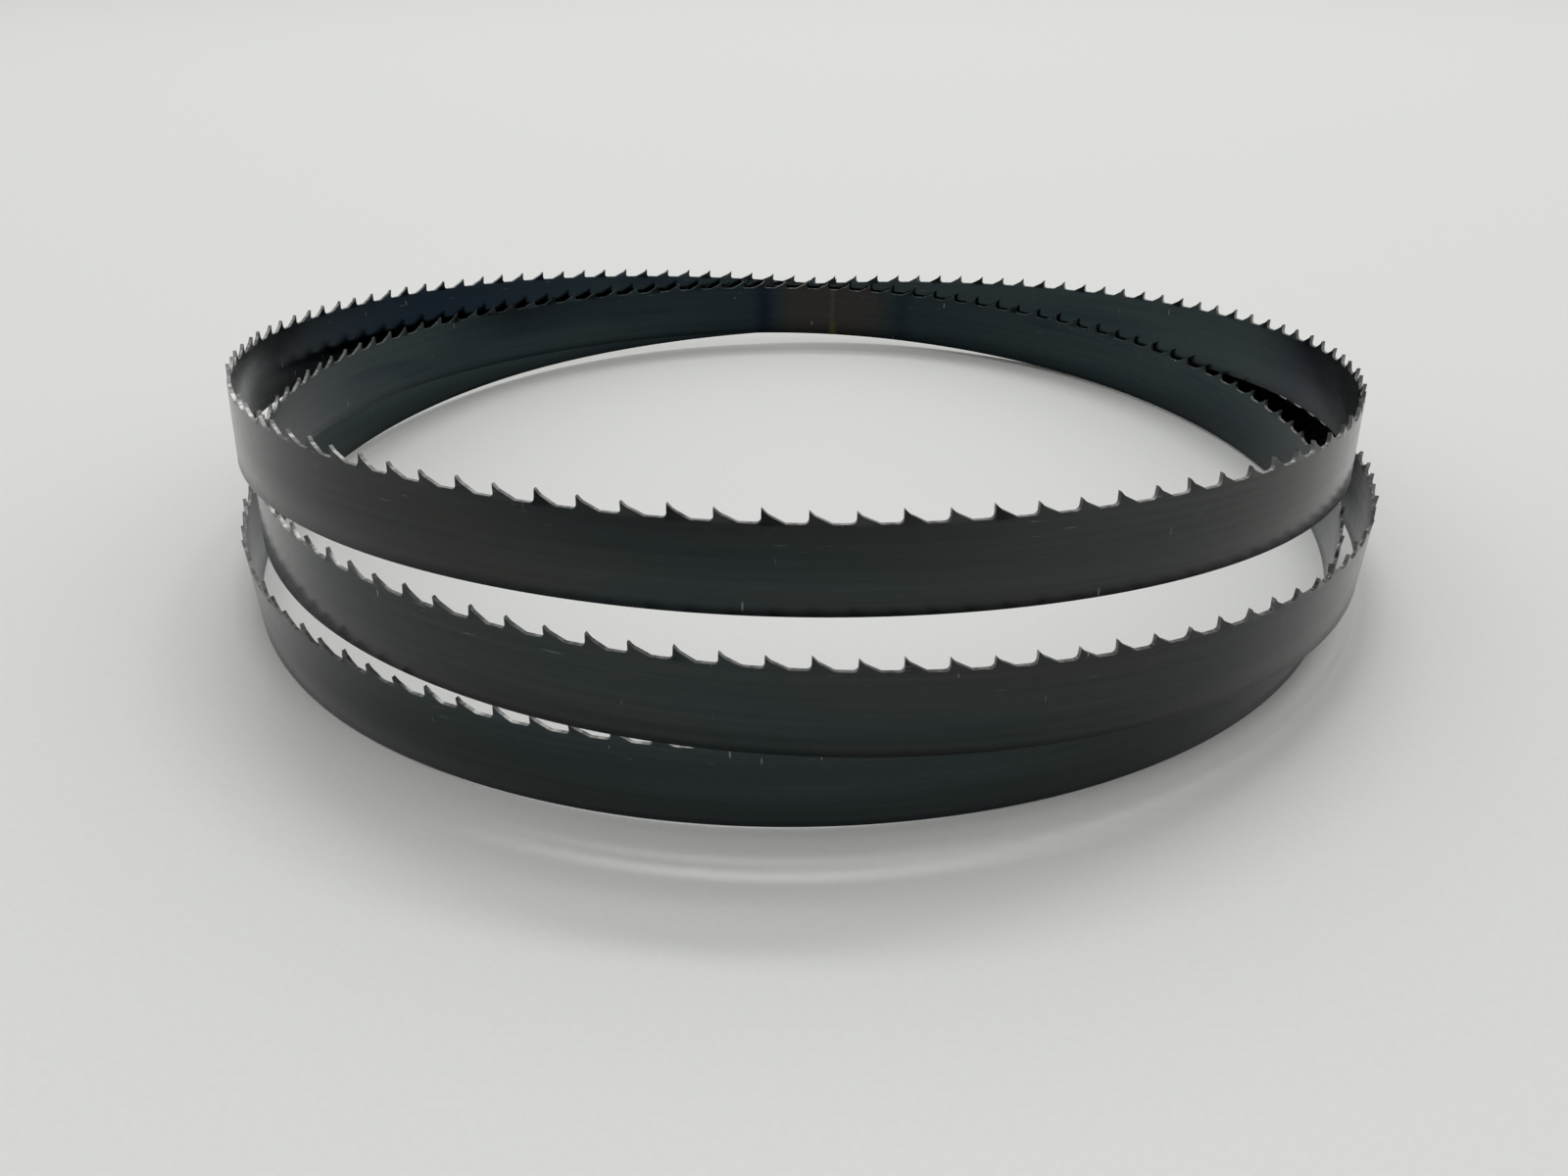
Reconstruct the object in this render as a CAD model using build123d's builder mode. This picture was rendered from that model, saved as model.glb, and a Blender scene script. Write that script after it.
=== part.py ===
"""Band saw blade: a welded, toothed steel band, twisted up into a coil of three turns.

The band's back edge lies on the table plane z = 0 at its lowest places, the teeth point up, and
the origin is under the middle of the coil. The coil is described by the route of the back edge,
which starts at the middle of the front (-Y) and runs counter-clockwise seen from above.
"""
from build123d import *

import os
from math import asin, cos, degrees, pi, radians, sin, tan

# Band stock, mm: four teeth to the inch on a 5/8 inch wide band
TOOTH_PITCH = 6.35
TOOTH_COUNT = 335
BAND_WIDTH = 15.875      # back edge to tooth points
BAND_THICKNESS = 0.65

# Tooth form, mm and degrees: zero rake, with a steep relief behind each point
TOOTH_DEPTH = 2.05       # tooth points to gullet floor
GULLET_RADIUS = 0.7
GULLET_FLATS = 3         # the gullet's curve is cut as this many flats
RELIEF_LENGTH = 0.8
RELIEF_ANGLE = 45
BACK_ANGLE = 27

# Sideways set of the tooth points in one group, mm, outward positive, from the straight raker on
TOOTH_SET = (0.0, 0.22, -0.12, 0.18, -0.28)
FIRST_POINT = 23.5       # route length from the start to the first raker's point

# Coil route: one group of stations for each turn, evenly spaced by angle from the front middle.
# Each station is the strand's distance outside the mean coil radius, in mm, and the height of
# its back edge, in band widths, because a strand clears the one that it crosses by a width.
TURN_STATIONS = (
    ((-0.2, 0.025), (0.2, 0.0), (-0.9, 0.02), (-2.5, 0.05),
     (-1.9, 0.2), (-1.0, 0.4), (-2.4, 0.87), (-0.6, 1.05)),
    ((1.9, 0.95), (3.7, 0.58), (3.8, 0.19), (0.5, 0.0),
     (0.2, 0.26), (3.0, 0.85), (0.9, 1.57), (-1.8, 2.1)),
    ((-4.5, 2.14), (-2.1, 1.85), (-0.2, 1.27), (-1.0, 0.65),
     (-0.9, 0.23), (1.2, 0.07), (1.8, 0.0), (1.7, 0.01)),
)

BAND_LENGTH = TOOTH_COUNT * TOOTH_PITCH
GULLET_HEIGHT = BAND_WIDTH - TOOTH_DEPTH
RELIEF_DROP = RELIEF_LENGTH * tan(radians(RELIEF_ANGLE))
BACK_LENGTH = (TOOTH_DEPTH - RELIEF_DROP) / tan(radians(BACK_ANGLE))
TOOTH_BASE = GULLET_RADIUS + RELIEF_LENGTH + BACK_LENGTH
TURNS = len(TURN_STATIONS)


def coil_route(mean_radius):
    """The closed route of the back edge, as a smooth curve through the stations."""
    points = []
    for turn in TURN_STATIONS:
        for place, (outside, height) in enumerate(turn):
            angle = 2 * pi * place / len(turn)
            radius = mean_radius + outside
            points.append((radius * sin(angle), -radius * cos(angle), height * BAND_WIDTH))
    with BuildLine() as route:
        Spline(*points, periodic=True)
    return route.edge()


def fitted_route():
    """The coil route whose length is the band's."""
    mean_radius = BAND_LENGTH / (2 * pi * TURNS)
    spare = BAND_LENGTH - coil_route(mean_radius).length
    return coil_route(mean_radius + spare / (2 * pi * TURNS))


def section_frames(route):
    """Back-edge point, outward and upward directions at both ends of every tooth's base.

    A band bends only across its flat, so its outward side faces away from the route's own
    centre of curvature, and the band leans where its route rises or dips.
    """
    places = []
    for tooth in range(TOOTH_COUNT):
        base_start = FIRST_POINT - GULLET_RADIUS + tooth * TOOTH_PITCH
        places += [base_start, base_start + TOOTH_BASE]
    frames = []
    for place in places:
        behind, here, ahead = [
            route.position_at((place + step) % BAND_LENGTH, PositionMode.LENGTH)
            for step in (-TOOTH_PITCH, 0, TOOTH_PITCH)
        ]
        forward = (ahead - behind).normalized()
        bend = here - (ahead + behind) / 2
        outward = (bend - forward * bend.dot(forward)).normalized()
        frames.append((here, outward, outward.cross(forward)))
    return frames


def corner(frame, side, height):
    """A corner of the band's section: side is 1 on the outer face and -1 on the inner."""
    point, outward, upward = frame
    return point + outward * (side * BAND_THICKNESS / 2) + upward * height


def tooth_outline(foot_frame, heel_frame, side, tooth_set):
    """One side's edge of a tooth: gullet curve, rake face, relief and back, set over sideways."""
    foot = corner(foot_frame, side, GULLET_HEIGHT)
    heel = corner(heel_frame, side, GULLET_HEIGHT)
    along = heel - foot
    flat = along.cross(foot_frame[2] + heel_frame[2])
    lean = degrees(asin(tooth_set / TOOTH_DEPTH))
    tooth_plane = Plane(foot, x_dir=along, z_dir=flat.rotate(Axis(foot, along), lean))
    angles = [pi / 2 * flats_cut / GULLET_FLATS for flats_cut in range(GULLET_FLATS + 1)]
    gullet = [(GULLET_RADIUS * sin(angle), GULLET_RADIUS * (1 - cos(angle))) for angle in angles]
    point = (GULLET_RADIUS, TOOTH_DEPTH)
    shoulder = (GULLET_RADIUS + RELIEF_LENGTH, TOOTH_DEPTH - RELIEF_DROP)
    with BuildLine(tooth_plane) as outline:
        Polyline(*gullet, point, shoulder, (along.length, 0))
    return outline.edges()


def skin_between(outer_edges, inner_edges):
    """The band's thickness along matching edges of its two sides."""
    return [Face.make_surface_from_curves(a, b) for a, b in zip(outer_edges, inner_edges)]


def side_strip(start, end, side):
    """The flat of the band on one side, from one section to the next, with its two long edges."""
    lower = Edge.make_line(corner(start, side, 0), corner(end, side, 0))
    upper = Edge.make_line(corner(start, side, GULLET_HEIGHT), corner(end, side, GULLET_HEIGHT))
    return Face.make_surface_from_curves(lower, upper), lower, upper


def band_skin(frames):
    """Every face of the closed band, tooth by tooth."""
    faces = []
    for tooth in range(TOOTH_COUNT):
        foot, heel, next_foot = [frames[(2 * tooth + step) % len(frames)] for step in range(3)]
        tooth_set = TOOTH_SET[tooth % len(TOOTH_SET)]
        outlines = [tooth_outline(foot, heel, side, tooth_set) for side in (1, -1)]
        faces += skin_between(*outlines)
        for start, end, toothed in ((foot, heel, True), (heel, next_foot, False)):
            strips = [side_strip(start, end, side) for side in (1, -1)]
            faces += [strip for strip, lower, upper in strips]
            faces += skin_between([strips[0][1]], [strips[1][1]])
            if toothed:
                for outline, strip in zip(outlines, strips):
                    faces.append(Face(Wire([*outline, strip[2]])))
            else:
                faces += skin_between([strips[0][2]], [strips[1][2]])
    return faces


def seated(body):
    """The body moved to put the middle of its base at the origin."""
    box = body.bounding_box()
    return Pos(-box.center().X, -box.center().Y, -box.min.Z) * body


os.makedirs("parts", exist_ok=True)

band = seated(Solid(Shell(band_skin(section_frames(fitted_route())))))

with BuildPart() as blade:
    add(band)

blade.part.label = "blade"
export_step(blade.part, "parts/blade.step")
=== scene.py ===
"""Band saw blade, coiled for storage: its blued steel band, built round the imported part."""
from math import radians, tan

import bpy
import numpy as np
from mathutils import Euler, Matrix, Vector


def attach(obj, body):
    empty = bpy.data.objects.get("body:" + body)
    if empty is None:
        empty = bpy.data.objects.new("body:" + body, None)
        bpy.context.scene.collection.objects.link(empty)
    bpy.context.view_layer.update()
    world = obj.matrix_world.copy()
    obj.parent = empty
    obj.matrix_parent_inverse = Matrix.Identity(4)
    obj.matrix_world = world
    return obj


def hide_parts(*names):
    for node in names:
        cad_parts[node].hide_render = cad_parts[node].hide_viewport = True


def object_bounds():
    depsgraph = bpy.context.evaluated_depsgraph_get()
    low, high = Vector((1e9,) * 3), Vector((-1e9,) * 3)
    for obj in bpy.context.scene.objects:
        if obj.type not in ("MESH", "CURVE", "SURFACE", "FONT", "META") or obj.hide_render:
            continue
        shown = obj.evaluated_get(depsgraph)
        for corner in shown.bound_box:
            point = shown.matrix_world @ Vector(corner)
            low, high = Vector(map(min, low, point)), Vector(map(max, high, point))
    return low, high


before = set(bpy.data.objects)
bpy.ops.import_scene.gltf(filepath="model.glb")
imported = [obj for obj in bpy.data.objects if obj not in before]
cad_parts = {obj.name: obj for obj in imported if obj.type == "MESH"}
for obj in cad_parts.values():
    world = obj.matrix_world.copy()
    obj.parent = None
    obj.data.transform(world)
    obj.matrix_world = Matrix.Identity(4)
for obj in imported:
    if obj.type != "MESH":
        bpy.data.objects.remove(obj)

bl_info = {
    "name": "Coiled Band Saw Blade",
    "version": (1, 0, 0),
    "blender": (4, 5, 0),
    "location": "View3D > Sidebar > Saw Blade",
    "description": "Builds a blued steel band saw blade in a coil of three turns, on a table",
    "category": "Add Mesh",
}

BODY = "root"
BLADE_NODE = "blade"
CAD_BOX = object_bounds()

# Route of the back edge, one row for each turn: distance outside the mean radius in metres,
# and height in band widths, evenly spaced by angle from the front middle, counter-clockwise
TURN_STATIONS = (
    ((-0.0002, 0.025), (0.0002, 0.0), (-0.0009, 0.02), (-0.0025, 0.05),
     (-0.0019, 0.2), (-0.001, 0.4), (-0.0024, 0.87), (-0.0006, 1.05)),
    ((0.0019, 0.95), (0.0037, 0.58), (0.0038, 0.19), (0.0005, 0.0),
     (0.0002, 0.26), (0.003, 0.85), (0.0009, 1.57), (-0.0018, 2.1)),
    ((-0.0045, 2.14), (-0.0021, 1.85), (-0.0002, 1.27), (-0.001, 0.65),
     (-0.0009, 0.23), (0.0012, 0.07), (0.0018, 0.0), (0.0017, 0.01)),
)

# Length of the route before the first tooth point, in metres
FIRST_POINT = 0.0235

# Sideways set of one group of tooth points, outward positive, from the straight raker on,
# and how much of the full depth each tooth of the group stands up
TOOTH_SET = (0.0, 0.00022, -0.00012, 0.00018, -0.00028)
TOOTH_RISE = (0.94, 0.92, 0.99, 0.97, 0.99)

# How far single teeth stray from that set and rise
SET_SPREAD = 0.00004
RISE_SPREAD = 0.01
SET_SEED, RISE_SEED = 1, 2

# A set tooth starts to bend this far below the gullet floor, over a fold this high
BEND_START = 0.0003
BEND_FOLD = 0.00015

# Steps that the gullet's curve is cut into, and the places of the cuts behind the tooth point, as
# shares of the relief's length and of the back's
GULLET_STEPS = 5
RELIEF_CUTS = (0, 0.35, 0.75, 1.1)
BACK_CUTS = (0.35, 0.7)

# How steeply a tooth's set fades out along its back, from full at the point
SET_FADE = 1.6

# Inset of a rounded corner at the middle of its curve, as a share of its radius
CORNER_INSET = 0.29

# Faces that meet at more than this stay sharp
SHARP_ANGLE = radians(52)

# Middle of the weld, along the band from the start of the route
WELD_PLACE = 0.3395

# Finishes of the band's mesh
OUTER, RIM, INNER = range(3)

# Stretches of another tone on the flats: middle and half length along the band, the tone and its
# strength, where more than 1 is full strength for some way to each side of the middle
OUTER_STRETCHES = (
    (0.6, 0.13, "pale_oxide", 0.4), (0.825, 0.13, "pale_oxide", 0.4),
    (1.31, 0.07, "pale_oxide", 0.35), (1.515, 0.12, "pale_oxide", 0.9),
    (0.0, 0.13, "cool_oxide", 0.9),
)
INNER_STRETCHES = (
    (WELD_PLACE + 0.005, 0.15, "deep_oxide", 0.9),
    (1.19, 0.15, "navy_oxide", 0.85), (1.56, 0.07, "navy_oxide", 3.0),
)

# Grain of each kind of marking: cells in a metre along the band and up it, and the noise's detail
DRIFT_GRAIN = (8.0, 40.0, 2.0)
PATCH_GRAIN = (26.0, 190.0, 2.0)
MOTTLE_GRAIN = (420.0, 420.0, 2.0)
ROLLING_GRAIN = (30.0, 3600.0, 1.0)
STREAK_GRAIN = (14.0, 1000.0, 2.0)
SCUFF_GRAIN = (220.0, 1800.0, 1.0)
GRIND_GRAIN = (5200.0, 700.0, 1.0)
DULL_SPOT_GRAIN = (900.0, 600.0, 2.0)
DULL_STRETCH_GRAIN = (60.0, 60.0, 2.0)
NICK_GRAIN = (680.0, 150.0)

# Broad tones are levelled out over this length on each side of where the mesh closes
CLOSING_FADE = 0.06

# Depth below the rim, in metres, over which nicks, bared rims and scuffs come in
NICK_DEPTH = (0.0045, 0.001)
WORN_RIM_DEPTH = (0.00016, 0.00003)
SCUFF_DEPTH = (0.006, 0.002)

# Height over the back edge, in metres, over which the flats darken towards it in painted shade and
# dull towards it, and over which its rim turns from bare to blued
PAINTED_BACK_SHADE_HEIGHT = (0.0018, 0.0)
BACK_DULL_HEIGHT = (0.003, 0.0005)
BACK_RIM_HEIGHT = (0.002, 0.0005)

# Heat tint, in metres from the weld's middle: fade of the straw, each dark blue band with its half
# width and strength, half width of the seam, and how far the tints wander
STRAW_FADE = (0.0195, 0.0105)
BLUE_BANDS = ((0.0205, 0.0042, 1.0), (-0.021, 0.004, 0.45))
SEAM_HALF_WIDTH = 0.0011
TINT_WANDER = 0.0035

# A drop of straw at the foot of the seam: its place from the weld, half width and height
WELD_DROP = (-0.0003, 0.0017)
WELD_DROP_HEIGHT = (0.005, 0.0015)

# Depth of the steel's fine relief and of the table's grain, in metres
STEEL_RELIEF = 0.00002
TABLE_RELIEF = 0.0001

# Numbers of the outputs that are read from Texture Coordinate and from Light Path
GENERATED_PLACE, OBJECT_PLACE = 0, 3
CAMERA_RAY, GLOSSY_RAY = 0, 3

# Half the table's width, and the cells in a metre of its grain
TABLE_REACH = 15.0
TABLE_GRAIN = 900.0

# Painted shade: mirrored in the steel, the table's colour fades to the dark of the unlit side;
# where along -Y each fade starts and ends, and its share
PAINTED_SHADE_FADES = ((-0.175, -0.29, 0.6), (-0.28, -0.5, 0.37))

# The unlit side of the room, by direction: how far forward and how low it starts and is full, how
# much darker it is, and how far the light falls off to the right
UNLIT_FORWARD = (-0.25, -0.8)
UNLIT_UP = (0.85, 0.5)
UNLIT_SHARE = 0.85
RIGHT_FALL = 0.03

# Place of each lamp and its share of the power, and the lamps' length and width
LAMPS = (("rear_lamp", (0.15, 1.5, 2.6), 0.68), ("near_lamp", (0.15, 1.08, 2.8), 0.32))
LAMP_LENGTH = 1.6
LAMP_WIDTH = 0.2

# Camera: place, turn in degrees, sensor width in millimetres and nearest distance that it sees
CAMERA_PLACE = (-0.001042, -0.251972, 0.120838)
CAMERA_TURN = (60.278, 0.625, 0.34)
SENSOR_WIDTH = 36.0
NEAREST_SEEN = 0.01


class BandSizes(bpy.types.PropertyGroup):
    """Sizes of the band and its teeth."""

    tooth_pitch: bpy.props.FloatProperty(
        name="Tooth pitch", description="Distance from one tooth point to the next",
        default=0.00635, min=0.001, precision=5, unit="LENGTH", subtype="DISTANCE")
    tooth_count: bpy.props.IntProperty(
        name="Tooth count", description="Number of teeth round the whole loop", default=335, min=40)
    width: bpy.props.FloatProperty(
        name="Band width", description="Back edge to tooth points",
        default=0.015875, min=0.003, precision=5, unit="LENGTH", subtype="DISTANCE")
    thickness: bpy.props.FloatProperty(
        name="Band thickness", description="Thickness of the steel strip",
        default=0.00065, min=0.0002, precision=5, unit="LENGTH", subtype="DISTANCE")
    tooth_depth: bpy.props.FloatProperty(
        name="Tooth depth", description="Tooth points to gullet floor",
        default=0.00205, min=0.0003, precision=5, unit="LENGTH", subtype="DISTANCE")
    gullet_radius: bpy.props.FloatProperty(
        name="Gullet radius", description="Radius of the curve at the foot of the rake face",
        default=0.0007, min=0.0001, precision=5, unit="LENGTH", subtype="DISTANCE")
    relief_length: bpy.props.FloatProperty(
        name="Relief length", description="Length of the steep relief behind each point",
        default=0.0008, min=0.0001, precision=5, unit="LENGTH", subtype="DISTANCE")
    relief_angle: bpy.props.FloatProperty(
        name="Relief angle", description="Slope of the relief behind each point",
        default=radians(45), min=0.1, max=1.5, unit="ROTATION", subtype="ANGLE")
    back_angle: bpy.props.FloatProperty(
        name="Tooth back angle", description="Slope of each tooth's back down to the gullet floor",
        default=radians(27), min=0.1, max=1.5, unit="ROTATION", subtype="ANGLE")
    edge_round: bpy.props.FloatProperty(
        name="Back edge rounding", description="Radius that the back edge's corners are rounded to",
        default=0.00012, min=0.0, precision=5, unit="LENGTH", subtype="DISTANCE")


class SteelColours(bpy.types.PropertyGroup):
    """Colours and gloss of the steel, as the share of light that each finish mirrors head-on."""

    outer_oxide: bpy.props.FloatVectorProperty(
        name="Outer oxide", description="Blued outer flat",
        default=(0.0395, 0.042, 0.0417), size=3, min=0, max=1, subtype="COLOR")
    green_oxide: bpy.props.FloatVectorProperty(
        name="Greenish oxide", description="Cooler drift in the blued outer flat",
        default=(0.031, 0.040, 0.041), size=3, min=0, max=1, subtype="COLOR")
    brown_oxide: bpy.props.FloatVectorProperty(
        name="Brownish oxide", description="Warmer patches in the blued outer flat",
        default=(0.0415, 0.0397, 0.0385), size=3, min=0, max=1, subtype="COLOR")
    pale_oxide: bpy.props.FloatVectorProperty(
        name="Pale oxide", description="Greyer stretches of the blued outer flat",
        default=(0.059, 0.0595, 0.0575), size=3, min=0, max=1, subtype="COLOR")
    cool_oxide: bpy.props.FloatVectorProperty(
        name="Cool oxide", description="Greenest stretch of the blued outer flat",
        default=(0.040, 0.052, 0.053), size=3, min=0, max=1, subtype="COLOR")
    inner_oxide: bpy.props.FloatVectorProperty(
        name="Inner oxide", description="Blued inner flat",
        default=(0.0355, 0.049, 0.052), size=3, min=0, max=1, subtype="COLOR")
    bluish_oxide: bpy.props.FloatVectorProperty(
        name="Bluish oxide", description="Bluer drift in the blued inner flat",
        default=(0.028, 0.040, 0.046), size=3, min=0, max=1, subtype="COLOR")
    dusky_oxide: bpy.props.FloatVectorProperty(
        name="Dusky oxide", description="Darker patches in the blued inner flat",
        default=(0.020, 0.030, 0.044), size=3, min=0, max=1, subtype="COLOR")
    deep_oxide: bpy.props.FloatVectorProperty(
        name="Deep blue oxide", description="Darkest blue of the inner flat, towards the weld",
        default=(0.014, 0.021, 0.026), size=3, min=0, max=1, subtype="COLOR")
    navy_oxide: bpy.props.FloatVectorProperty(
        name="Navy oxide", description="Bluer stretches of the inner flat",
        default=(0.010, 0.019, 0.032), size=3, min=0, max=1, subtype="COLOR")
    bare_steel: bpy.props.FloatVectorProperty(
        name="Bare steel", description="Ground rims of the teeth",
        default=(0.33, 0.33, 0.321), size=3, min=0, max=1, subtype="COLOR")
    dull_steel: bpy.props.FloatVectorProperty(
        name="Dull steel", description="Darkened places on the ground rims",
        default=(0.075, 0.072, 0.069), size=3, min=0, max=1, subtype="COLOR")
    blued_rim: bpy.props.FloatVectorProperty(
        name="Blued rim", description="Rim of the back edge",
        default=(0.05, 0.055, 0.057), size=3, min=0, max=1, subtype="COLOR")
    straw: bpy.props.FloatVectorProperty(
        name="Weld straw tint", description="Brownish heat tint round the weld",
        default=(0.033, 0.0295, 0.0265), size=3, min=0, max=1, subtype="COLOR")
    weld_blue: bpy.props.FloatVectorProperty(
        name="Weld blue", description="Dark blue bands beside the straw tint",
        default=(0.006, 0.010, 0.018), size=3, min=0, max=1, subtype="COLOR")
    weld_seam: bpy.props.FloatVectorProperty(
        name="Weld seam", description="Pale line along the weld",
        default=(0.062, 0.052, 0.034), size=3, min=0, max=1, subtype="COLOR")
    weld_drop: bpy.props.FloatVectorProperty(
        name="Weld drop", description="Golden drop at the foot of the weld",
        default=(0.075, 0.062, 0.022), size=3, min=0, max=1, subtype="COLOR")
    gloss: bpy.props.FloatProperty(
        name="Face roughness", description="Roughness of the blued flats",
        default=0.2, min=0, max=1, subtype="FACTOR")


class StageLook(bpy.types.PropertyGroup):
    """Table, light and camera."""

    table: bpy.props.FloatVectorProperty(
        name="Table", description="Colour of the plain table", default=(0.73, 0.738, 0.72),
        size=3, min=0, max=1, subtype="COLOR")
    # Painted shade: the dark colour that the table's mirror image takes on the unlit side
    painted_unlit_table: bpy.props.FloatVectorProperty(
        name="Unlit table", description="Table's mirror image on the unlit side",
        default=(0.01, 0.01, 0.012), size=3, min=0, max=1, subtype="COLOR")
    room: bpy.props.FloatVectorProperty(
        name="Room", description="Tint of the room light",
        default=(0.995, 1.0, 0.99), size=3, min=0, max=1, subtype="COLOR")
    room_light: bpy.props.FloatProperty(
        name="Room light", description="Strength of the even room light",
        default=0.81, min=0, max=5)
    backdrop: bpy.props.FloatProperty(
        name="Backdrop", description="Strength of the plain room that camera and steel see",
        default=0.6, min=0, max=1)
    lamp_power: bpy.props.FloatProperty(
        name="Lamp power", description="Power of the lamps together",
        default=26.5, min=0, max=500, unit="POWER")
    lens: bpy.props.FloatProperty(
        name="Lens", description="Focal length of the camera on a 36 mm sensor",
        default=28.107, min=5, max=300, unit="CAMERA")


# Shader expressions


class Wire:
    """A shader socket that Python expressions can be written on."""

    def __init__(self, tree, socket):
        self.tree = tree
        self.socket = socket

    def _maths(self, operation, *values):
        return self.tree.add("ShaderNodeMath", {"operation": operation}, *values)[0]

    def __add__(self, other):
        return self._maths("ADD", self, other)

    def __radd__(self, other):
        return self._maths("ADD", other, self)

    def __sub__(self, other):
        return self._maths("SUBTRACT", self, other)

    def __rsub__(self, other):
        return self._maths("SUBTRACT", other, self)

    def __mul__(self, other):
        return self._maths("MULTIPLY", self, other)

    def __rmul__(self, other):
        return self._maths("MULTIPLY", other, self)

    def __abs__(self):
        return self._maths("ABSOLUTE", self)

    def ramp(self, low, high):
        """0 at the low value and 1 at the high one, clamped, with a smooth step between."""
        settings = {"interpolation_type": "SMOOTHSTEP"}
        return self.tree.add("ShaderNodeMapRange", settings, self, low, high)[0]

    def bell(self, middle, half_width):
        """1 at the middle value, falling smoothly to 0 at half_width to each side."""
        return abs(self - middle).ramp(half_width, 0.0)


class ShaderTree:
    """The node tree of one material or of the world."""

    def __init__(self, node_tree):
        self.nodes = node_tree.nodes
        self.links = node_tree.links
        self.nodes.clear()

    def add(self, node_type, settings, *values, **named):
        """A new node's outputs: its settings go in first, then its sockets, by order or by name."""
        node = self.nodes.new(node_type)
        for key, value in settings.items():
            setattr(node, key, value)
        sockets = list(zip(node.inputs, values))
        for key, value in named.items():
            names = (key, key.replace("_", " "))
            sockets.append((next(item for item in node.inputs if item.identifier in names), value))
        for socket, value in sockets:
            if isinstance(value, Wire):
                self.links.new(value.socket, socket)
            elif socket.type == "RGBA":
                socket.default_value = (*value[:3], 1.0)
            else:
                socket.default_value = value
        return [Wire(self, socket) for socket in node.outputs]

    def mix(self, factor, first, second, blend="MIX"):
        """A mix of two colours."""
        settings = {"data_type": "RGBA", "blend_type": blend}
        values = {"Factor_Float": factor, "A_Color": first, "B_Color": second}
        return self.add("ShaderNodeMix", settings, **values)[2]


# Shape of the band


def closed_curve(points, steps_per_span=240):
    """Points evenly along the smooth closed curve through the given points, and their distances."""
    count = len(points)
    ahead = np.roll(points, -1, axis=0)
    spans = np.linalg.norm(ahead - points, axis=1)
    slopes = (ahead - points) / spans[:, None]
    system = np.zeros((count, count))
    for here in range(count):
        before, after = (here - 1) % count, (here + 1) % count
        system[here, before] = spans[before]
        system[here, here] = 2 * (spans[before] + spans[here])
        system[here, after] = spans[here]
    bends = np.linalg.solve(system, 6 * (slopes - np.roll(slopes, 1, axis=0)))
    along = np.linspace(0, 1, steps_per_span, endpoint=False)[None, :, None]
    left = 1 - along
    width = spans[:, None, None]
    curve = (left * points[:, None] + along * ahead[:, None]
             + width**2 / 6 * ((left**3 - left) * bends[:, None]
                               + (along**3 - along) * np.roll(bends, -1, axis=0)[:, None]))
    curve = curve.reshape(-1, 3)
    curve = np.vstack([curve, curve[:1]])
    distance = np.concatenate([[0], np.cumsum(np.linalg.norm(np.diff(curve, axis=0), axis=1))])
    return curve, distance


def back_edge_route(sizes):
    """The route of the back edge, with the mean coil radius that gives the band's length."""
    band_length = sizes.tooth_count * sizes.tooth_pitch

    def route(mean_radius):
        points = []
        for turn in TURN_STATIONS:
            angles = 2 * np.pi * np.arange(len(turn)) / len(turn)
            for angle, (outside, height) in zip(angles, turn):
                radius = mean_radius + outside
                across, deep = radius * np.sin(angle), -radius * np.cos(angle)
                points.append((across, deep, height * sizes.width))
        return closed_curve(np.array(points))

    mean_radius = band_length / (2 * np.pi * len(TURN_STATIONS))
    spare = band_length - route(mean_radius)[1][-1]
    curve, distance = route(mean_radius + spare / (2 * np.pi * len(TURN_STATIONS)))
    return curve, distance * band_length / distance[-1]


class BandPath:
    """Back-edge points and the band's outward and upward directions, by place along the band."""

    def __init__(self, sizes):
        self.curve, self.distance = back_edge_route(sizes)
        self.length = self.distance[-1]
        self.step = sizes.tooth_pitch

    def points(self, places):
        """The back edge's points at the given places."""
        places = np.mod(places, self.length)
        return np.stack([np.interp(places, self.distance, axis) for axis in self.curve.T], axis=1)

    def frames(self, places):
        """Back-edge points, outward and upward directions; the band bends only across its flat."""
        behind, here, ahead = (self.points(places + step) for step in (-self.step, 0, self.step))
        forward = ahead - behind
        forward /= np.linalg.norm(forward, axis=1)[:, None]
        bend = here - (ahead + behind) / 2
        outward = bend - forward * np.sum(bend * forward, axis=1)[:, None]
        outward /= np.linalg.norm(outward, axis=1)[:, None]
        return here, outward, np.cross(outward, forward)


def tooth_columns(sizes):
    """Columns across one pitch from the gullet's start: place, top height, lower top, set weight.

    The lower top is where the gullet's curve meets the rake face, so that the upper row of faces
    can stop there.
    """
    radius = sizes.gullet_radius
    drop = sizes.relief_length * tan(sizes.relief_angle)
    back = (sizes.tooth_depth - drop) / tan(sizes.back_angle)
    columns = []
    for turn in np.linspace(0, np.pi / 2, GULLET_STEPS + 1)[:-1]:
        rise = radius * (1 - np.cos(turn))
        columns.append((radius * np.sin(turn), rise, rise, turn / (np.pi / 2)))
    profile = [(0, sizes.tooth_depth), (sizes.relief_length, sizes.tooth_depth - drop),
               (sizes.relief_length + back, 0)]
    places, tops = zip(*profile)
    stops = [share * sizes.relief_length for share in RELIEF_CUTS]
    stops += [sizes.relief_length + share * back for share in BACK_CUTS]
    for stop in stops:
        top = float(np.interp(stop, places, tops))
        weight = min(1.0, SET_FADE * (1 - stop / places[-1]))
        columns.append((radius + stop, top, top * radius / sizes.tooth_depth, weight))
    columns.append((radius + places[-1], 0, 0, 0))
    columns.append(((radius + places[-1] + sizes.tooth_pitch) / 2, 0, 0, 0))
    return columns


def wander(numbers, seed):
    """A repeatable even spread of values from -1 to 1, one for each whole number."""
    return 2 * np.modf(np.abs(np.sin(numbers * 12.9898 + seed * 78.233) * 43758.5453))[0] - 1


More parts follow.
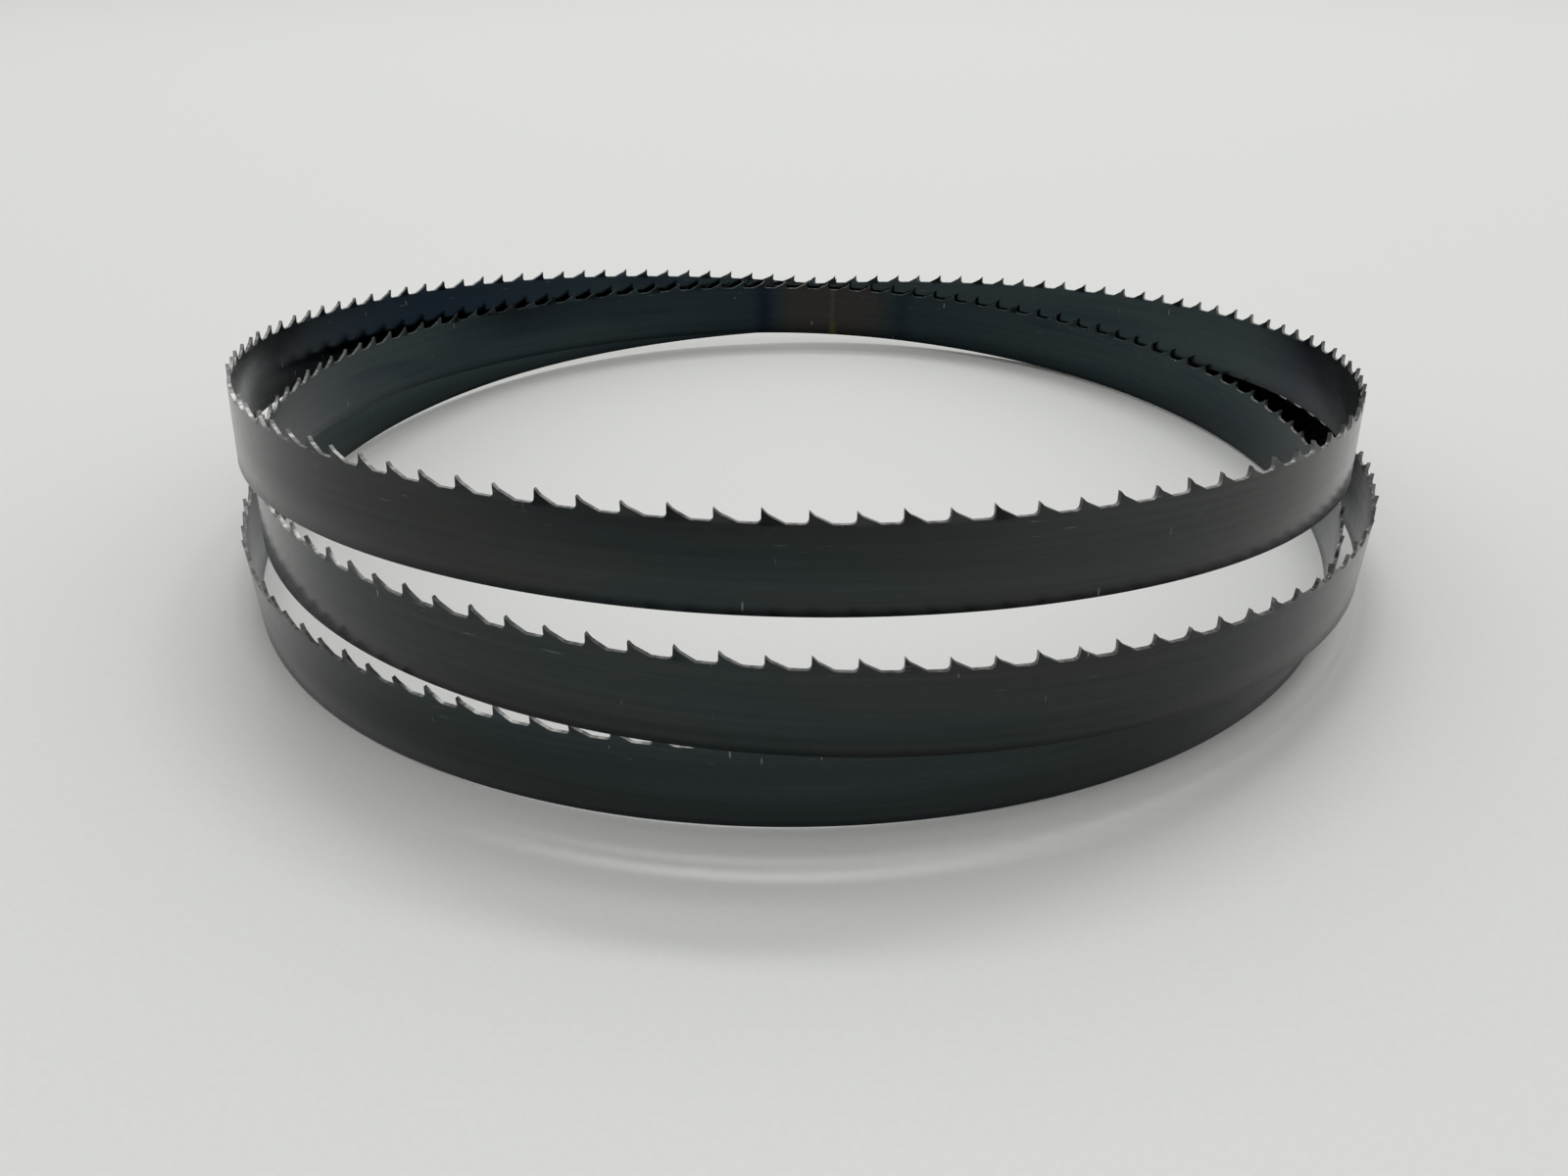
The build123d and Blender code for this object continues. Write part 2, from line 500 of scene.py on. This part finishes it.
class BandGrid:
    """The band's outer and inner side as rows of points, one column for each place along it."""

    def __init__(self, sizes):
        path = BandPath(sizes)
        columns = tooth_columns(sizes)
        teeth = np.arange(sizes.tooth_count)
        group = teeth % len(TOOTH_SET)
        place, top, low, weight = (np.array(values) for values in zip(*columns))
        starts = FIRST_POINT - sizes.gullet_radius + teeth * sizes.tooth_pitch
        tooth_set = np.array(TOOTH_SET)[group] + SET_SPREAD * wander(teeth, SET_SEED)
        rise = np.array(TOOTH_RISE)[group] + RISE_SPREAD * wander(teeth, RISE_SEED)
        self.per_tooth = len(columns)
        self.length = path.length
        self.places = (starts[:, None] + place).ravel()
        self.total = len(self.places)
        floor = sizes.width - sizes.tooth_depth
        bend = floor - BEND_START
        soft = sizes.edge_round
        corner = CORNER_INSET * soft
        rows = [(0, soft), (corner, corner), (soft, 0), (0.5 * floor, 0),
                (bend - BEND_FOLD, 0), (bend, 0), (floor, 0)]
        heights = [np.full(self.total, height) for height, inset in rows]
        heights += [floor + (rise[:, None] * shape).ravel() for shape in (low, top)]
        insets = [inset for height, inset in rows] + [0, 0]
        self.heights = np.array(heights)
        self.floor_row, self.low_row, self.top_row = range(len(rows) - 1, len(rows) + 2)
        self.row_count = len(heights)
        here, outward, upward = path.frames(self.places)
        lean = (tooth_set[:, None] * weight).ravel()
        rings = []
        for side in (1, -1):
            for height, inset in zip(heights, insets):
                bent = np.clip((height - bend) / (sizes.width - bend), 0, None)
                shift = side * (sizes.thickness / 2 - inset) + lean * bent
                rings.append(here + outward * shift[:, None] + upward * height[:, None])
        self.vertices = np.concatenate(rings)

    def vertex(self, side, row, column):
        """The number of a point, where rows that meet at the rim share one point."""
        number = column % self.per_tooth
        if row > self.floor_row and not 0 < number < self.per_tooth - 2:
            row = self.floor_row
        if row == self.top_row and number < GULLET_STEPS:
            row = self.low_row
        return (side * self.row_count + row) * self.total + column % self.total, row

    def mark(self, row, column):
        """Place along the band, height above the back edge and depth below the rim."""
        wrapped = column % self.total
        place = self.places[wrapped] + (self.length if column == self.total else 0)
        height = self.heights[row][wrapped]
        return place, height, self.heights[self.top_row][wrapped] - height


def band_mesh(sizes):
    """The band's mesh: smooth flats, separate rims round the teeth, and each tooth set over."""
    grid = BandGrid(sizes)
    heel = grid.per_tooth - 2
    faces, slots, marks = [], [], []

    def add(slot, *points):
        """One face from (side, row, column) points; points that fall together are taken once."""
        face = []
        for side, row, column in points:
            vertex, row = grid.vertex(side, row, column)
            if vertex not in face:
                face.append(vertex)
                marks.append(grid.mark(row, column))
        faces.append(face)
        slots.append(slot)

    for column in range(grid.total):
        ahead = column + 1
        number = column % grid.per_tooth
        for row in range(grid.row_count - 1):
            if row == grid.low_row and not GULLET_STEPS <= number < heel:
                continue
            if row == grid.floor_row and number >= heel:
                continue
            add(OUTER, (0, row, column), (0, row, ahead), (0, row + 1, ahead), (0, row + 1, column))
            add(INNER, (1, row + 1, column), (1, row + 1, ahead), (1, row, ahead), (1, row, column))
        last = grid.low_row if number == GULLET_STEPS - 1 else grid.top_row
        add(RIM, (1, 0, column), (1, 0, ahead), (0, 0, ahead), (0, 0, column))
        add(RIM, (1, grid.top_row, column), (0, grid.top_row, column),
            (0, last, ahead), (1, last, ahead))
        if number == GULLET_STEPS:
            add(RIM, (1, grid.low_row, column), (0, grid.low_row, column),
                (0, grid.top_row, column), (1, grid.top_row, column))
    used, fresh = np.unique(np.concatenate(faces), return_inverse=True)
    ends = np.cumsum([len(face) for face in faces])[:-1]
    faces = [face.tolist() for face in np.split(fresh, ends)]
    mesh = bpy.data.meshes.new("saw_band")
    mesh.from_pydata(grid.vertices[used].tolist(), [], faces)
    mesh.polygons.foreach_set("material_index", slots)
    strip = mesh.attributes.new("strip", "FLOAT_VECTOR", "CORNER")
    strip.data.foreach_set("vector", np.array(marks, dtype=np.float32).ravel())
    mesh.validate()
    mesh.shade_smooth()
    mesh.set_sharp_from_angle(angle=SHARP_ANGLE)
    return mesh


# Materials


def new_material(name):
    """A named material and its emptied shader tree."""
    material = bpy.data.materials.new(name)
    material.use_nodes = True
    return material, ShaderTree(material.node_tree)


def finish_shader(tree, colour, roughness, metallic, normal):
    """A Principled shader on the material's output."""
    shader = tree.add("ShaderNodeBsdfPrincipled", {}, Base_Color=colour, Roughness=roughness,
                      Metallic=metallic, Normal=normal)[0]
    tree.add("ShaderNodeOutputMaterial", {}, Surface=shader)


def strip_place(tree):
    """Place along the band, height above its back edge and depth below its rim, in metres."""
    strip = tree.add("ShaderNodeAttribute", {"attribute_name": "strip"})[1]
    return tree.add("ShaderNodeSeparateXYZ", {}, strip)


def strip_noise(tree, along, height, grain):
    """Noise of the given grain on the band, from 0 to 1."""
    along_scale, height_scale, detail = grain
    place = tree.add("ShaderNodeCombineXYZ", {}, along * along_scale, height * height_scale, 0.0)[0]
    return tree.add("ShaderNodeTexNoise", {}, Vector=place, Scale=1.0, Detail=detail)[0]


def nicks(tree, along, height, below):
    """Sparse short upright nicks, most of them under the gullets, as a mask."""
    along_scale, height_scale = NICK_GRAIN
    place = tree.add("ShaderNodeCombineXYZ", {}, along * along_scale, height * height_scale, 0.0)[0]
    distance, cell = tree.add("ShaderNodeTexVoronoi", {}, Vector=place, Scale=1.0)[:2]
    chance = tree.add("ShaderNodeSeparateColor", {}, cell)[0]
    more = 0.22 * below.ramp(*NICK_DEPTH)
    return distance.ramp(0.15, 0.05) * chance.ramp(0.95 - more, 0.97 - more)


def weld_tint(tree, colour, along, mottle, steel):
    """Heat colours round the weld: straw in the middle, dark blue beside it, a pale seam."""
    from_weld = along - WELD_PLACE
    drifted = from_weld + TINT_WANDER * (mottle - 0.5)
    straw = abs(drifted).ramp(*STRAW_FADE)
    blue = sum(strength * drifted.bell(place, half_width)
               for place, half_width, strength in BLUE_BANDS)
    seam = from_weld.bell(0.0, SEAM_HALF_WIDTH) * (0.4 + 0.6 * mottle)
    colour = tree.mix(straw * (0.7 + 0.3 * mottle), colour, steel.straw)
    colour = tree.mix(0.75 * blue, colour, steel.weld_blue)
    return tree.mix(0.65 * seam, colour, steel.weld_seam)


def closing(along, sizes):
    """0 where the mesh closes on itself and 1 away from there, so that broad tones don't jump."""
    start = FIRST_POINT - sizes.gullet_radius
    end = start + sizes.tooth_count * sizes.tooth_pitch
    return along.ramp(start, start + CLOSING_FADE) * along.ramp(end, end - CLOSING_FADE)


def stretch_tint(tree, colour, along, sizes, steel, stretches):
    """The colour with its stretches of other tones; one at the start of the loop ends it too."""
    loop = sizes.tooth_count * sizes.tooth_pitch
    for middle, half_length, tone, strength in stretches:
        for place in (middle, middle + loop) if middle < half_length else (middle,):
            strong = strength * along.bell(place, half_length)
            colour = tree.mix(strong, colour, getattr(steel, tone))
    return colour


def blued_flat(name, sizes, steel, tones, stretches):
    """A blued flat of the band: thin dark oxide that mirrors faintly, with the wear of handling and
    painted shade towards its back edge.

    tones are the main one, the one it drifts to and the one of its patches.
    """
    material, tree = new_material(name)
    along, height, below = strip_place(tree)
    broad = closing(along, sizes)
    drift = 0.5 + broad * (strip_noise(tree, along, height, DRIFT_GRAIN) - 0.5)
    patches = broad * strip_noise(tree, along, height, PATCH_GRAIN)
    mottle = strip_noise(tree, along, height, MOTTLE_GRAIN)
    rolling = strip_noise(tree, along, height, ROLLING_GRAIN)
    streaks = strip_noise(tree, along, height, STREAK_GRAIN)
    main_tone, drift_tone, patch_tone = tones
    colour = tree.mix(drift.ramp(0.42, 0.60), main_tone, drift_tone)
    colour = tree.mix(patches.ramp(0.54, 0.72) * 0.55, colour, patch_tone)
    colour = stretch_tint(tree, colour, along, sizes, steel, stretches)
    colour = weld_tint(tree, colour, along, mottle, steel)
    uneven = 0.45 * (streaks - 0.5) + 0.2 * (rolling - 0.5) + 0.15 * (mottle - 0.5)
    # Painted shade: the colour darkens to half towards the back edge, standing in for the dark
    # mirrored near the foot of each flat; the streaks, rolling and mottle are the oxide's own
    # uneven tone
    level = (1 - 0.5 * height.ramp(*PAINTED_BACK_SHADE_HEIGHT)) * (1 + uneven)
    shade = tree.add("ShaderNodeCombineColor", {}, level, level, level)[0]
    colour = tree.mix(1.0, colour, shade, "MULTIPLY")

    nick = nicks(tree, along, height, below)
    worn_rim = below.ramp(*WORN_RIM_DEPTH) * mottle.ramp(0.40, 0.62)
    scuff = strip_noise(tree, along, height, SCUFF_GRAIN).ramp(0.68, 0.80)
    bare = 0.55 * nick + 0.5 * worn_rim + 0.16 * scuff * (0.2 + below.ramp(*SCUFF_DEPTH))
    colour = tree.mix(bare, colour, steel.bare_steel)
    drop = (along - WELD_PLACE).bell(*WELD_DROP) * height.ramp(*WELD_DROP_HEIGHT)
    colour = tree.mix(0.8 * drop, colour, steel.weld_drop)
    roughness = (steel.gloss + 0.10 * (rolling - 0.5) + 0.10 * (mottle - 0.5) + 0.2 * bare
                 + 0.09 * height.ramp(*BACK_DULL_HEIGHT))
    bump = tree.add("ShaderNodeBump", {}, Strength=0.2, Distance=STEEL_RELIEF,
                    Height=rolling * 0.6 + mottle * 0.4 - nick)[0]
    finish_shader(tree, colour, roughness, 1.0, bump)
    return material


def ground_rim(steel):
    """The rims of teeth and back edge: bared by the grinding wheel, partly dulled, blued below."""
    material, tree = new_material("ground_rim")
    along, height, below = strip_place(tree)
    grind = strip_noise(tree, along, height, GRIND_GRAIN)
    spots = strip_noise(tree, along, height, DULL_SPOT_GRAIN).ramp(0.40, 0.60)
    stretches = strip_noise(tree, along, height, DULL_STRETCH_GRAIN).ramp(0.42, 0.62)
    dull = (spots * 0.55 + stretches * 0.40) * (0.85 + 0.15 * grind)
    colour = tree.mix(dull, steel.bare_steel, steel.dull_steel)
    colour = tree.mix(0.85 * height.ramp(*BACK_RIM_HEIGHT), colour, steel.blued_rim)
    bump = tree.add("ShaderNodeBump", {}, Strength=0.35, Distance=STEEL_RELIEF, Height=grind)[0]
    finish_shader(tree, colour, 0.42 + 0.2 * (grind - 0.5), 1.0, bump)
    return material


def table_top(look):
    """Plain pale table with a faint grain, whose mirror image is darkened on the unlit side with
    painted shade.
    """
    material, tree = new_material("table_top")
    place = tree.add("ShaderNodeTexCoord", {})[OBJECT_PLACE]
    deep = tree.add("ShaderNodeSeparateXYZ", {}, place)[1]
    grain = tree.add("ShaderNodeTexNoise", {}, Vector=place, Scale=TABLE_GRAIN, Detail=2.0)[0]
    dimmed = [value * 0.95 for value in look.table]
    colour = tree.mix(grain.ramp(0.35, 0.65) * 0.35, look.table, dimmed)
    # Painted shade: for mirrored rays only, the table's colour darkens towards -Y, standing in for
    # the unlit side of the room
    mirrored = tree.add("ShaderNodeLightPath", {})[GLOSSY_RAY]
    unlit = sum(share * deep.ramp(start, end) for start, end, share in PAINTED_SHADE_FADES)
    colour = tree.mix(mirrored * unlit, colour, look.painted_unlit_table)
    bump = tree.add("ShaderNodeBump", {}, Strength=0.08, Distance=TABLE_RELIEF, Height=grain)[0]
    finish_shader(tree, colour, 0.55, 0.0, bump)
    return material


# Operators


def show(name, data):
    """A mesh, lamp or camera as an object in the scene."""
    item = bpy.data.objects.new(name, data)
    bpy.context.scene.collection.objects.link(item)
    return item


class SAWBLADE_OT_band(bpy.types.Operator):
    """Builds the toothed steel band in its coil and gives it its finishes"""

    bl_idname = "sawblade.band"
    bl_label = "Build Band"
    bl_options = {"REGISTER", "UNDO"}

    def execute(self, context):
        sizes, steel = context.scene.saw_band, context.scene.saw_steel
        mesh = band_mesh(sizes)
        self.seat(mesh)
        outer_tones = (steel.outer_oxide, steel.green_oxide, steel.brown_oxide)
        inner_tones = (steel.inner_oxide, steel.bluish_oxide, steel.dusky_oxide)
        finishes = {
            OUTER: blued_flat("blued_outer_flat", sizes, steel, outer_tones, OUTER_STRETCHES),
            RIM: ground_rim(steel),
            INNER: blued_flat("blued_inner_flat", sizes, steel, inner_tones, INNER_STRETCHES),
        }
        for slot in sorted(finishes):
            mesh.materials.append(finishes[slot])
        band = show("saw_band", mesh)
        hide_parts(BLADE_NODE)
        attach(band, BODY)
        return {"FINISHED"}

    def seat(self, mesh):
        """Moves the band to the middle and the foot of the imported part's box."""
        points = np.empty(3 * len(mesh.vertices))
        mesh.vertices.foreach_get("co", points)
        points = points.reshape(-1, 3)
        low, high = points.min(axis=0), points.max(axis=0)
        cad_low, cad_high = (np.array(corner) for corner in CAD_BOX)
        move = (cad_low + cad_high - low - high) / 2
        move[2] = cad_low[2] - low[2]
        mesh.vertices.foreach_set("co", (points + move).ravel())
        mesh.update()


class SAWBLADE_OT_stage(bpy.types.Operator):
    """Sets the table, the soft studio light and the camera"""

    bl_idname = "sawblade.stage"
    bl_label = "Set Stage"
    bl_options = {"REGISTER", "UNDO"}

    def execute(self, context):
        look = context.scene.saw_stage
        self.table(look)
        self.room_light(context.scene, look)
        self.lamps(look)
        self.camera(context.scene, look)
        context.scene.view_settings.view_transform = "Standard"
        return {"FINISHED"}

    def table(self, look):
        """A wide plain table under the coil."""
        corners = [(across * TABLE_REACH, deep * TABLE_REACH, 0)
                   for across, deep in ((-1, -1), (1, -1), (1, 1), (-1, 1))]
        mesh = bpy.data.meshes.new("table")
        mesh.from_pydata(corners, [], [(0, 1, 2, 3)])
        mesh.materials.append(table_top(look))
        table = show("table", mesh)
        table.location.z = CAD_BOX[0][2]

    def room_light(self, scene, look):
        """Even light from all round but the unlit front; camera and steel see a plain pale room."""
        world = bpy.data.worlds.new("studio")
        world.use_nodes = True
        scene.world = world
        tree = ShaderTree(world.node_tree)
        place = tree.add("ShaderNodeTexCoord", {})[GENERATED_PLACE]
        across, deep, up = tree.add("ShaderNodeSeparateXYZ", {}, place)
        unlit = deep.ramp(*UNLIT_FORWARD) * up.ramp(*UNLIT_UP)
        level = look.room_light * (1 - UNLIT_SHARE * unlit) * (1 - RIGHT_FALL * across)
        rays = tree.add("ShaderNodeLightPath", {})
        level = level + (rays[CAMERA_RAY] + rays[GLOSSY_RAY]) * (look.backdrop - level)
        background = tree.add("ShaderNodeBackground", {}, Color=look.room, Strength=level)[0]
        tree.add("ShaderNodeOutputWorld", {}, Surface=background)

    def lamps(self, look):
        """Long lamps high up behind the coil, turned to it, for a shadow in front of it."""
        for name, place, share in LAMPS:
            light = bpy.data.lights.new(name, "AREA")
            light.shape = "RECTANGLE"
            light.size = LAMP_LENGTH
            light.size_y = LAMP_WIDTH
            light.energy = look.lamp_power * share
            lamp = show(name, light)
            lamp.location = place
            lamp.rotation_euler = (-lamp.location).to_track_quat("-Z", "Y").to_euler()

    def camera(self, scene, look):
        """The camera where the photograph was taken from."""
        camera = bpy.data.cameras.new("camera")
        camera.lens = look.lens
        camera.sensor_width = SENSOR_WIDTH
        camera.clip_start = NEAREST_SEEN
        item = show("camera", camera)
        item.location = CAMERA_PLACE
        item.rotation_euler = Euler([radians(angle) for angle in CAMERA_TURN], "XYZ")
        scene.camera = item


class SAWBLADE_PT_panel(bpy.types.Panel):
    """Sizes, finishes and build steps of the coiled saw blade"""

    bl_idname = "SAWBLADE_PT_panel"
    bl_label = "Coiled Saw Blade"
    bl_space_type = "VIEW_3D"
    bl_region_type = "UI"
    bl_category = "Saw Blade"

    def draw(self, context):
        layout = self.layout
        for group in (context.scene.saw_band, context.scene.saw_steel, context.scene.saw_stage):
            column = layout.column(align=True)
            for name in group.__annotations__:
                column.prop(group, name)
        layout.operator(SAWBLADE_OT_band.bl_idname)
        layout.operator(SAWBLADE_OT_stage.bl_idname)


CLASSES = (
    BandSizes, SteelColours, StageLook, SAWBLADE_OT_band, SAWBLADE_OT_stage, SAWBLADE_PT_panel,
)


def register():
    for item in CLASSES:
        bpy.utils.register_class(item)
    bpy.types.Scene.saw_band = bpy.props.PointerProperty(type=BandSizes)
    bpy.types.Scene.saw_steel = bpy.props.PointerProperty(type=SteelColours)
    bpy.types.Scene.saw_stage = bpy.props.PointerProperty(type=StageLook)


def unregister():
    del bpy.types.Scene.saw_stage
    del bpy.types.Scene.saw_steel
    del bpy.types.Scene.saw_band
    for item in reversed(CLASSES):
        bpy.utils.unregister_class(item)


def main():
    register()
    bpy.ops.sawblade.band()
    bpy.ops.sawblade.stage()


if __name__ == "__main__":
    main()
